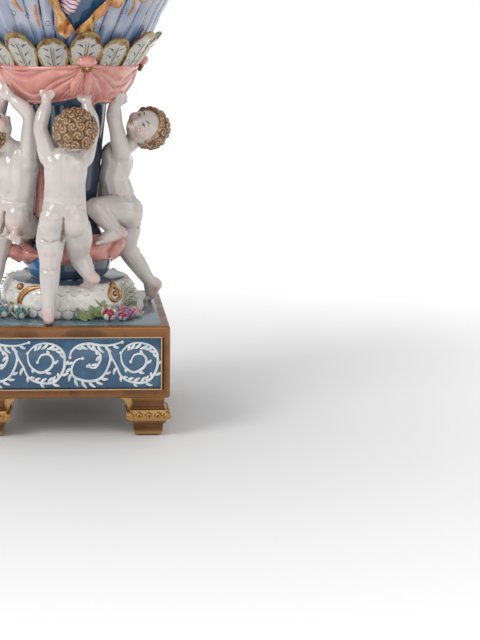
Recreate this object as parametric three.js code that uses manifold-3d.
// A large porcelain ewer: a gilded square plinth on four feet, a figure group of
// four putti round a stem, and the hollow ewer that they hold up.
// Millimetres, +Z up, the front of the object towards -Y, origin under its centre.
// An azimuth is measured from the front: 0 is -Y and a quarter turn is +X.
import * as THREE from 'three';
import { mergeVertices } from 'three/addons/utils/BufferGeometryUtils.js';
import Module from 'manifold-3d';

const wasm = await Module();
wasm.setup();

const TURN = 2 * Math.PI;
const DEGREE = Math.PI / 180;

// Clearance between one fired section and the next.
const seatGap = 0.4;

// Plinth
const plinthWidth = 220;
const plinthBoxHeight = 79;
const plinthWall = 8;
const panelSideBand = 9.7;
const panelTopBand = 12;
const panelBottomBand = 9.9;
const panelRecess = 2.6;
const reliefHeight = 2.2;
const footHeight = 43.5;
const footPadHalf = 16;
const footBandHalf = 23.2;
const footNeckHalf = 19.5;

// Figure group
const groupHeight = 233;
const moundRadius = 77;
const moundHeight = 37;
const discRadius = 60;
const knobRadius = 48;
const stemWaistRadius = 33;
const stemTopRadius = 44;
const drapeRollRadius = 12;
const flowerRadius = 13;
const flowerHeight = 9;
const flowerCircle = 84;

// Ewer
const ewerHeight = 408;
const vesselWall = 5;
const bowlRadius = 72;
const bodyRadius = 106;
const neckRadius = 30;
const mouthRadius = 48;
const lipReach = 44;
const lipLift = 14;
const swagDepth = 8;
const swagTop = 47;
const knotRadius = 12;
const knotAzimuth = 14 * DEGREE;
const leafCount = 16;
const leafThickness = 3;
const clothThickness = 4.5;
const clothReach = 134;
const handleReach = 124;
const handleRadius = 6.5;
const hornRadius = 10.5;

const plinthTop = footHeight + plinthBoxHeight;
const groupBase = plinthTop + seatGap;
const poseUnit = groupHeight / 233;
const poseSpread = (knobRadius + drapeRollRadius) / 60;
const seat = plinthTop + groupHeight + seatGap;

const gilding = new THREE.MeshStandardMaterial({ color: 0x9c6a3a, roughness: 0.3, metalness: 0.8 });
const whiteGlaze = new THREE.MeshStandardMaterial({ color: 0xdcd4cc, roughness: 0.15, metalness: 0 });
const blueGlaze = new THREE.MeshStandardMaterial({ color: 0x6f84a3, roughness: 0.15, metalness: 0 });

// Smooth change from one entry of a [place, value] table to the next.
function along(table, place) {
  const next = table.findIndex(([at]) => at >= place);
  if (next === -1) return table[table.length - 1][1];
  if (next === 0) return table[0][1];
  const [from, low] = table[next - 1];
  const [to, high] = table[next];
  return low + (high - low) * THREE.MathUtils.smoothstep(place, from, to);
}

// The same, in straight lines.
function ramp(table, place) {
  const next = table.findIndex(([at]) => at >= place);
  if (next === -1) return table[table.length - 1][1];
  if (next === 0) return table[0][1];
  const [from, low] = table[next - 1];
  const [to, high] = table[next];
  return THREE.MathUtils.mapLinear(place, from, to, low, high);
}

function wrapped(value, period) {
  return ((value % period) + period) % period;
}

// A closed geometry as a solid with its faces pointing out.
function solidOf(geometry) {
  const loose = geometry.index ? geometry.toNonIndexed() : geometry.clone();
  loose.deleteAttribute('normal');
  loose.deleteAttribute('uv');
  const merged = mergeVertices(loose, 1e-3);
  const vertProperties = merged.attributes.position.array;
  const corner = (i) => new THREE.Vector3().fromArray(vertProperties, 3 * i);
  const triangles = [];
  let volume = 0;
  for (let i = 0; i < merged.index.count; i += 3) {
    const [a, b, c] = merged.index.array.slice(i, i + 3);
    if (a === b || b === c || c === a) continue;
    triangles.push([a, b, c]);
    volume += corner(a).dot(corner(b).cross(corner(c)));
  }
  const facing = volume > 0 ? triangles : triangles.map(([a, b, c]) => [a, c, b]);
  const triVerts = new Uint32Array(facing.flat());
  return new wasm.Manifold(new wasm.Mesh({ numProp: 3, vertProperties, triVerts }));
}

function joined(solids) {
  return solids.reduce((whole, next) => whole.add(next));
}

function meshOf(name, solid, material) {
  const { vertProperties, triVerts } = solid.getMesh();
  const geometry = new THREE.BufferGeometry();
  geometry.setAttribute('position', new THREE.BufferAttribute(vertProperties, 3));
  geometry.setIndex(new THREE.BufferAttribute(triVerts, 1));
  const mesh = new THREE.Mesh(geometry, material);
  mesh.name = name;
  return mesh;
}

function block(low, high) {
  const size = high.map((value, axis) => value - low[axis]);
  const middle = high.map((value, axis) => (value + low[axis]) / 2);
  return solidOf(new THREE.BoxGeometry(...size).translate(...middle));
}

// A profile of [radius, height] turned about +Z. place(azimuth, radius, height)
// may answer with another [radius, height] for each vertex.
function turnedGeometry(profile, segments, place = (azimuth, radius, height) => [radius, height]) {
  const points = profile.map(([radius, height]) => new THREE.Vector2(radius, height));
  const geometry = new THREE.LatheGeometry(points, segments).rotateX(Math.PI / 2);
  const position = geometry.attributes.position;
  for (let i = 0; i < position.count; i += 1) {
    const column = Math.floor(i / points.length) % segments;
    const azimuth = (column / segments) * TURN;
    const [radius, height] = place(azimuth, ...profile[i % points.length]);
    position.setXYZ(i, radius * Math.sin(azimuth), -radius * Math.cos(azimuth), height);
  }
  return geometry;
}

function turned(profile, segments, place) {
  return solidOf(turnedGeometry(profile, segments, place));
}

// A geometry that stands on +Z, moved to stand on the line from start to end.
function laidAlong(geometry, start, end) {
  const direction = end.clone().sub(start).normalize();
  const turn = new THREE.Quaternion().setFromUnitVectors(new THREE.Vector3(0, 0, 1), direction);
  return geometry.applyQuaternion(turn).translate(start.x, start.y, start.z);
}

// A limb with pointed ends, which lie inside its neighbours at the joints.
function limb(start, end, startRadius, endRadius, sides) {
  const length = start.distanceTo(end);
  const profile = [
    [0, -0.8 * startRadius],
    [startRadius, 0],
    [endRadius, length],
    [0, length + 0.8 * endRadius],
  ];
  return solidOf(laidAlong(turnedGeometry(profile, sides), start, end));
}

function ball(centre, radius, around, up) {
  const geometry = new THREE.SphereGeometry(radius, around, up).rotateX(Math.PI / 2);
  return solidOf(geometry.translate(centre.x, centre.y, centre.z));
}

// Plinth

const panelHalfLength = plinthWidth / 2 - panelSideBand;
const panelLow = footHeight + panelBottomBand;
const panelHigh = plinthTop - panelTopBand;
const panelMiddle = (panelLow + panelHigh) / 2;
const scrollLength = panelHalfLength;
const scrollHalfHeight = (panelHigh - panelLow) / 2;

// Points on a curl about a centre whose radius changes evenly from one end to the other.
function curl(centre, radii, angles, steps) {
  return Array.from({ length: steps + 1 }, (_, i) => {
    const share = i / steps;
    const angle = THREE.MathUtils.lerp(...angles, share) * DEGREE;
    const radius = THREE.MathUtils.lerp(...radii, share);
    return [centre[0] + radius * Math.cos(angle), centre[1] + radius * Math.sin(angle)];
  });
}

// The scroll's stems: places along it and across it are shares of a unit's length
// and of half the panel's height.
const scrollStems = [
  [[0.03, 0.25], [0.12, 0.7], [0.35, 0.75], [0.58, 0.8]],
  [[0.14, 0.15], [0.07, -0.45], [0.26, -0.74], [0.42, -0.3], [0.42, 0.65]],
  [[0.41, 0.65], [0.57, -0.6], [0.84, -0.62], [0.95, 0.1], [0.82, 0.72], [0.64, 0.62]],
  curl([0.24, 0.2], [0.12, 0.09], [100, -100], 3),
  curl([0.7, 0.08], [0.13, 0.1], [165, 395], 3),
];

// A raised stroke on a wall, wide in its middle and narrow at its ends.
function stroke(stem, width) {
  const count = stem.length;
  const sides = stem.map(([u, v], i) => {
    const [beforeU, beforeV] = stem[Math.max(i - 1, 0)];
    const [afterU, afterV] = stem[Math.min(i + 1, count - 1)];
    const run = Math.hypot(afterU - beforeU, afterV - beforeV);
    const half = width * (0.55 + 0.45 * Math.sin((Math.PI * i) / (count - 1)));
    const across = [(-(afterV - beforeV) / run) * half, ((afterU - beforeU) / run) * half];
    return [[u + across[0], v + across[1]], [u - across[0], v - across[1]]];
  });
  const outline = [...sides.map(([left]) => left), ...sides.map(([, right]) => right).reverse()];
  const shape = new THREE.Shape(outline.map(([u, v]) => new THREE.Vector2(u, v)));
  return new THREE.ExtrudeGeometry(shape, { depth: 2 * reliefHeight, bevelEnabled: false });
}

// The relief on one wall, standing on the floor of its panel.
function wallRelief(wallAzimuth) {
  const strokeWidth = 0.055 * scrollHalfHeight;
  const floor = plinthWidth / 2 - panelRecess - reliefHeight;
  const parts = [];
  for (const unitStart of [-scrollLength, 0]) {
    for (const stem of scrollStems) {
      const points = stem.map(([share, across]) => [
        unitStart + share * scrollLength,
        across * scrollHalfHeight,
      ]);
      const geometry = stroke(points, strokeWidth).rotateX(Math.PI / 2);
      parts.push(solidOf(geometry.translate(0, -floor, panelMiddle).rotateZ(wallAzimuth)));
    }
  }
  return joined(parts);
}

function panelRecessAt(wallAzimuth) {
  const depth = plinthWidth / 2 - panelRecess;
  const low = [-panelHalfLength, -plinthWidth, panelLow];
  const high = [panelHalfLength, -depth, panelHigh];
  const size = high.map((value, axis) => value - low[axis]);
  const middle = high.map((value, axis) => (value + low[axis]) / 2);
  const geometry = new THREE.BoxGeometry(...size).translate(...middle);
  return solidOf(geometry.rotateZ(wallAzimuth));
}

// A foot: a square capital with a scrolled band, upside down on a round-edged pad.
function foot(azimuth) {
  const corner = Math.SQRT2;
  const profile = [
    [0, 0], [footPadHalf, 0], [footPadHalf, 11], [footBandHalf, 20], [footBandHalf, 29],
    [footNeckHalf, 32], [footNeckHalf, footHeight + plinthWall / 2],
    [0, footHeight + plinthWall / 2],
  ].map(([half, height]) => [half * corner, height]);
  const reach = (plinthWidth / 2 - footBandHalf) * corner;
  const geometry = turnedGeometry(profile, 4).rotateZ(Math.PI / 4);
  const x = reach * Math.sin(azimuth);
  const y = -reach * Math.cos(azimuth);
  return solidOf(geometry.translate(x, y, 0));
}

function plinth() {
  const half = plinthWidth / 2;
  const inside = half - plinthWall;
  const walls = [0, 1, 2, 3].map((side) => (side * TURN) / 4);
  let solid = block([-half, -half, footHeight], [half, half, plinthTop]);
  solid = solid.subtract(
    block([-inside, -inside, 0], [inside, inside, plinthTop - plinthWall]),
  );
  for (const wall of walls) solid = solid.subtract(panelRecessAt(wall));
  for (const wall of walls) solid = solid.add(wallRelief(wall));
  for (const wall of walls) solid = solid.add(foot(wall + TURN / 8));
  return solid;
}

// Figure group

// A pose's points are written above the plinth's top, for a group 233 high with 60 from
// its axis to the outside of the drape, which the figures lean on. They grow with both.
function posePoint([x, y, z]) {
  return new THREE.Vector3(x * poseSpread, y * poseSpread, groupBase + z * poseUnit);
}

const frontPose = {
  pelvis: [-4, -82, 112], belly: [-3, -81, 144], chest: [-2, -80, 168], neck: [1, -81, 188],
  head: [8, -89, 208], crown: [10, -98, 226],
  arms: [
    [[-21, -77, 181], [-29, -71, 214], [-23, -61, 248]],
    [[19, -77, 181], [27, -68, 212], [20, -58, 246]],
  ],
  legs: [
    [[-16, -83, 102], [-19, -88, 64], [-21, -95, 18], [-21, -100, 7], [-21, -78, 4]],
    [[10, -82, 102], [12, -62, 71], [23, -74, 50], [30, -78, 46], [17, -62, 38]],
  ],
};

const rightPose = {
  pelvis: [62, 1, 112], belly: [55, 0, 142], chest: [56, 0, 166], neck: [65, -1, 185],
  head: [89, -4, 206], crown: [111, -4, 210],
  arms: [
    [[60, -19, 181], [52, -25, 210], [60, -22, 244]],
    [[60, 19, 181], [54, 26, 210], [60, 22, 244]],
  ],
  legs: [
    [[68, 12, 103], [66, 14, 66], [94, 30, 26], [104, 36, 20], [96, 44, 5]],
    [[60, -13, 107], [28, -36, 114], [56, -42, 93], [63, -44, 90], [36, -50, 83]],
  ],
};

const leftPose = {
  pelvis: [-63, -28, 112], belly: [-57, -30, 143], chest: [-54, -31, 167], neck: [-63, -31, 186],
  head: [-84, -36, 206], crown: [-104, -40, 211],
  arms: [
    [[-44, -38, 181], [-41, -47, 223], [-69, -38, 250]],
    [[-68, -16, 181], [-80, -6, 212], [-70, 4, 246]],
  ],
  legs: [
    [[-74, -23, 101], [-80, -28, 62], [-89, -36, 17], [-92, -40, 7], [-85, -20, 4]],
    [[-52, -33, 102], [-38, -7, 92], [-55, -34, 97], [-58, -40, 97], [-60, -54, 90]],
  ],
};

// The figure at the back is the front one seen in a mirror.
function mirrored(pose) {
  const flip = (value) => {
    if (typeof value[0] === 'number') return [value[0], -value[1], value[2]];
    return value.map(flip);
  };
  return Object.fromEntries(Object.entries(pose).map(([name, value]) => [name, flip(value)]));
}

function figure(pose) {
  const at = posePoint;
  const size = (value) => value * poseUnit;
  const parts = [
    limb(at(pose.pelvis), at(pose.belly), size(25), size(20), 6),
    limb(at(pose.belly), at(pose.chest), size(21), size(22), 6),
    limb(at(pose.chest), at(pose.neck), size(21), size(9), 6),
    limb(at(pose.neck), at(pose.head), size(9), size(10), 4),
    ball(at(pose.head), size(21), 6, 3),
    hair(at(pose.head), at(pose.crown), size(24)),
  ];
  for (const [shoulder, elbow, fingers] of pose.arms) {
    const inShoulder = at(shoulder).lerp(at(pose.chest), 0.35);
    parts.push(limb(inShoulder, at(elbow), size(10.5), size(7.5), 5));
    parts.push(limb(at(elbow), at(fingers), size(7.5), size(5.5), 5));
  }
  for (const [hip, knee, ankle, heel, toes] of pose.legs) {
    parts.push(limb(at(hip), at(knee), size(16.5), size(12), 6));
    parts.push(limb(at(knee), at(ankle), size(12), size(7), 5));
    parts.push(limb(at(heel).lerp(at(ankle), 0.3), at(toes), size(7.5), size(5.5), 4));
  }
  return joined(parts);
}

// A cap of hair over the crown, its points pushed out and in by turns as locks.
function hair(head, crown, radius) {
  const rows = 5;
  const locks = 8;
  const profile = Array.from({ length: rows + 1 }, (_, row) => [row, 0]);
  const geometry = turnedGeometry(profile, locks, (azimuth, row) => {
    const column = Math.round((azimuth / TURN) * locks);
    const reach = row % rows === 0 || (row + column) % 2 === 0 ? radius : 0.86 * radius;
    const angle = (Math.PI * row) / rows;
    return [row % rows === 0 ? 0 : reach * Math.sin(angle), -reach * Math.cos(angle)];
  });
  const centre = head.clone().lerp(crown, 0.3);
  const beyond = crown.clone().sub(head).add(centre);
  return solidOf(laidAlong(geometry, centre, beyond));
}

function moundAndStem() {
  const base = groupBase;
  const top = groupBase + groupHeight - seatGap;
  const torusHeight = moundHeight + 1.5;
  const profile = [
    [0, base],
    [moundRadius - 5, base],
    [moundRadius, base + 0.38 * torusHeight],
    [moundRadius - 3, base + 0.72 * torusHeight],
    [moundRadius - 10, base + torusHeight],
    [discRadius, base + moundHeight],
    [0.88 * knobRadius, base + moundHeight + 10 * poseUnit],
    [knobRadius, base + moundHeight + 21 * poseUnit],
    [knobRadius, base + moundHeight + 33 * poseUnit],
    [1.12 * stemWaistRadius, base + moundHeight + 48 * poseUnit],
    [stemWaistRadius, base + moundHeight + 68 * poseUnit],
    [THREE.MathUtils.lerp(stemWaistRadius, stemTopRadius, 0.45), base + moundHeight + 130 * poseUnit],
    [stemTopRadius, top],
    [0, top],
  ];
  return turned(profile, 16);
}

// The pink cloth gathered round the knob, with two tails that run up the stem.
function stemDrape() {
  const middle = groupBase + moundHeight + 36 * poseUnit;
  const section = Array.from({ length: 5 }, (_, i) => (i / 4) * TURN + TURN / 8);
  const profile = section.map((angle) => [Math.cos(angle), Math.sin(angle)]);
  const roll = turned(profile, 13, (azimuth, out, up) => [
    knobRadius - 1 + out * drapeRollRadius * (1 + 0.2 * Math.sin(3 * azimuth + 1)),
    middle + up * drapeRollRadius * 1.15 + 3 * Math.sin(2 * azimuth),
  ]);
  const tails = [-55, 125].map((tailDegrees) => {
    const azimuth = tailDegrees * DEGREE;
    const point = (radius, height) =>
      new THREE.Vector3(radius * Math.sin(azimuth), -radius * Math.cos(azimuth), height);
    const low = point(1.06 * stemWaistRadius, middle + 0.67 * drapeRollRadius);
    const high = point(0.95 * stemTopRadius, seat - 0.83 * drapeRollRadius);
    return limb(low, high, 0.67 * drapeRollRadius, 0.58 * drapeRollRadius, 4);
  });
  return joined([roll, ...tails]);
}

const flowerAzimuths = [37, 62, -52, 128, 152, 232];

function flower(azimuthDegrees) {
  const azimuth = azimuthDegrees * DEGREE;
  const profile = [
    [0, 0], [0.6 * flowerRadius, 0], [flowerRadius, flowerHeight], [0, 0.7 * flowerHeight],
  ];
  const geometry = turnedGeometry(profile, 5);
  const x = flowerCircle * Math.sin(azimuth);
  const y = -flowerCircle * Math.cos(azimuth);
  return solidOf(geometry.translate(x, y, groupBase));
}

function figureGroup() {
  const figures = [frontPose, rightPose, leftPose, mirrored(frontPose)].map(figure);
  const flowers = flowerAzimuths.map(flower);
  const whole = joined([moundAndStem(), stemDrape(), ...figures, ...flowers]);
  const reach = 2 * plinthWidth;
  const below = block([-reach, -reach, -reach], [reach, reach, groupBase]);
  return whole.subtract(below).subtract(ewerRoom());
}

// Ewer

const heightUnit = ewerHeight / 408;

// The vessel's outside, from the seat to the lip, as [radius, height above the seat].
const vesselKnots = [
  [stemTopRadius, 0], [0.92 * bowlRadius, 26], [1.08 * bowlRadius, 54],
  [0.86 * bodyRadius, 88], [0.97 * bodyRadius, 132], [bodyRadius, 168],
  [0.89 * bodyRadius, 212], [1.87 * neckRadius, 254], [1.1 * neckRadius, 288],
  [neckRadius, 312], [1.2 * neckRadius, 342], [mouthRadius, 368],
];

function vesselOutline() {
  const knots = vesselKnots.map(([radius, up]) => new THREE.Vector2(radius, up * heightUnit));
  return new THREE.SplineCurve(knots);
}

// The lip is drawn out to a spout on the side opposite the handle.
function withSpout(azimuth, radius, height) {
  const rise = (height - seat) / heightUnit;
  const pull = THREE.MathUtils.smoothstep(rise, 318, 368);
  const towards = Math.max(0, Math.cos(azimuth + TURN / 4)) ** 2;
  if (radius === 0) return [radius, height];
  return [radius + lipReach * pull * towards, height + lipLift * pull * towards];
}

function vessel() {
  const curve = vesselOutline();
  const outerSteps = 11;
  const innerSteps = 6;
  const outer = Array.from({ length: outerSteps + 1 }, (_, i) => {
    const point = curve.getPoint(i / outerSteps);
    return [point.x, seat + point.y];
  });
  const inner = Array.from({ length: innerSteps + 1 }, (_, i) => {
    const point = curve.getPoint(i / innerSteps);
    const tangent = curve.getTangent(i / innerSteps);
    const floor = Math.max(point.y + vesselWall * tangent.x, vesselWall);
    return [point.x - vesselWall * tangent.y, seat + floor];
  });
  const lip = outer[outerSteps];
  inner[innerSteps] = [lip[0] - 0.7 * vesselWall, lip[1] + 1];
  const profile = [[0, seat], ...outer, ...inner.reverse(), [0, seat + vesselWall]];
  return turned(profile, 22, withSpout);
}

// How far the swag's cloth stands out from the bowl, with its folds drawn up to the knots.
function swagFold(azimuth, rise) {
  const span = wrapped(azimuth - knotAzimuth, TURN / 4) / (TURN / 4);
  const sag = 4 * span * (1 - span);
  const down = (swagTop - rise) / swagTop;
  return 0.9 * Math.sin(TURN * (1.6 * down - 0.7 * sag)) * Math.sqrt(sag);
}

function swagOutside(rise) {
  return ramp([
    [0, 1.16 * stemTopRadius], [16, 0.875 * bowlRadius], [30, 0.986 * bowlRadius],
    [swagTop, 1.11 * bowlRadius],
  ], rise);
}

function swagHem(azimuth) {
  const span = wrapped(azimuth - knotAzimuth, TURN / 4) / (TURN / 4);
  return 12 - 11 * 4 * span * (1 - span);
}

function swag() {
  const outside = 1;
  const inside = 0;
  const profile = [
    [outside, 0], [outside, 0.3], [outside, 0.65], [outside, 1], [inside, 1], [inside, 0], [outside, 0],
  ];
  return turned(profile, 28, (azimuth, side, share) => {
    const rise = THREE.MathUtils.lerp(swagHem(azimuth), swagTop, share);
    const radius = swagOutside(rise);
    const fold = share > 0 && share < 1 ? 0.3 * swagDepth * swagFold(azimuth, rise) : 0;
    const out = side === outside ? radius + fold : radius - swagDepth;
    return [out, seat + rise * heightUnit];
  });
}

function aroundAxis(radius, azimuth, height) {
  return new THREE.Vector3(radius * Math.sin(azimuth), -radius * Math.cos(azimuth), height);
}

function knots() {
  const parts = [];
  for (let i = 0; i < 4; i += 1) {
    const azimuth = knotAzimuth + (i * TURN) / 4;
    const pouf = aroundAxis(1.1 * bowlRadius, azimuth, seat + 52 * heightUnit);
    parts.push(ball(pouf, knotRadius, 5, 3));
  }
  return joined(parts);
}

// The calyx: tall and short leaves in turn, flaring out to their tips.
function calyx() {
  const leafPitch = TURN / leafCount;
  const tip = (azimuth) => {
    const place = (azimuth - 0.9 * knotAzimuth) / leafPitch;
    const leaf = Math.round(place);
    const tall = wrapped(leaf, 2) === 0;
    const across = Math.abs(2 * (place - leaf));
    return (tall ? 84 : 77) - (tall ? 20 : 14) * across ** 2.4;
  };
  const outside = (rise) =>
    bowlRadius * ramp([[40, 1.055], [62, 1.25], [73, 1.36], [84, 1.51]], rise);
  const profile = [[1, 0], [1, 0.6], [1, 1], [0, 1], [0, 0], [1, 0]];
  return turned(profile, 3 * leafCount, (azimuth, side, share) => {
    const rise = THREE.MathUtils.lerp(40, tip(azimuth), share);
    const radius = outside(rise) - (side === 1 ? 0 : leafThickness * (1 + 1.7 * (1 - share)));
    return [radius, seat + rise * heightUnit];
  });
}

// The upper edge of the pale blue cloth over half a turn, as [degrees, height above the seat].
const clothEdge = [
  [5, 80], [15, 98], [22, 114], [32, 122], [45, 124], [58, 144], [72, 168], [92, 178],
  [140, 176], [160, 164], [171, 138], [177, 104], [185, 80],
];

function clothOutside(rise) {
  return ramp([
    [64, 0.82 * bodyRadius], [88, 0.96 * bodyRadius], [101, 1.01 * bodyRadius],
    [109, 1.07 * bodyRadius], [121, 1.13 * bodyRadius], [140, 0.94 * clothReach],
    [178, clothReach],
  ], rise);
}

function vesselRadiusAt(rise) {
  return along(vesselKnots.map(([radius, up]) => [up, radius]), rise);
}

// The cloth stands out from the body like petals, open in front and behind.
function bodyCloth() {
  const pleats = 14;
  const hem = 64;
  const profile = [[1, 0], [1, 0.4], [1, 1], [0, 1], [0, 0.5], [0, 0], [1, 0]];
  return turned(profile, 3 * pleats, (azimuth, side, share) => {
    const degrees = wrapped(azimuth / DEGREE - 5, 180) + 5;
    const rise = THREE.MathUtils.lerp(hem, along(clothEdge, degrees), share);
    const fold = 2.2 * share * Math.sin(pleats * azimuth);
    const radius = clothOutside(rise) + (share === 1 ? Math.min(fold, 0) : fold);
    const low = vesselRadiusAt(rise) - 0.6 * vesselWall;
    const inside = Math.min(radius - clothThickness, THREE.MathUtils.lerp(low, radius - clothThickness, share));
    return [side === 1 ? radius : inside, seat + rise * heightUnit];
  });
}

function handle() {
  const path = [
    [0.68 * bodyRadius, 240], [0.89 * handleReach, 256], [handleReach - handleRadius, 298],
    [0.9 * handleReach, 348], [0.69 * handleReach, 384], [1.33 * mouthRadius, 395],
    [0.98 * mouthRadius, 362],
  ].map(([out, up]) => new THREE.Vector3(out, 0, seat + up * heightUnit));
  const section = new THREE.Shape();
  section.absarc(0, 0, handleRadius, 0, TURN, false);
  const geometry = new THREE.ExtrudeGeometry(section, {
    curveSegments: 3, steps: 14, bevelEnabled: false, extrudePath: new THREE.CatmullRomCurve3(path),
  });
  return solidOf(geometry).subtract(neckRoom());
}

// The space inside the neck and mouth, kept free of the handle's end.
function neckRoom() {
  const inside = mouthRadius - 0.8 * vesselWall;
  const low = seat + 344 * heightUnit;
  const profile = [[0, low], [neckRadius, low], [inside, seat + 366 * heightUnit],
    [inside, seat + ewerHeight], [0, seat + ewerHeight]];
  return turned(profile, 22, withSpout);
}

// A banded shell against the body, in the opening of the cloth.
function bandedShell() {
  const low = aroundAxis(0.925 * bodyRadius, 1 * DEGREE, seat + 108 * heightUnit);
  const high = aroundAxis(0.99 * bodyRadius, 13 * DEGREE, seat + 148 * heightUnit);
  return limb(low, high, hornRadius, 0.5 * hornRadius, 7);
}

function ewer() {
  return joined([vessel(), swag(), calyx(), bodyCloth(), knots(), handle(), bandedShell()]);
}

// What the hands under the swag stay clear of.
function ewerRoom() {
  const low = seat - seatGap;
  const rows = [0, 16, 30, swagTop];
  const swell = 0.3 * swagDepth + seatGap;
  const profile = [[0, low], [1.16 * stemTopRadius + swell, low]];
  for (const rise of rows) profile.push([swagOutside(rise) + swell, seat + rise * heightUnit]);
  profile.push([1.42 * bowlRadius, seat + 62 * heightUnit], [0, seat + 62 * heightUnit]);
  return turned(profile, 24);
}

const model = new THREE.Group();
model.add(meshOf('plinth', plinth(), gilding));
model.add(meshOf('figure_group', figureGroup(), whiteGlaze));
model.add(meshOf('ewer', ewer(), blueGlaze));

export default model;
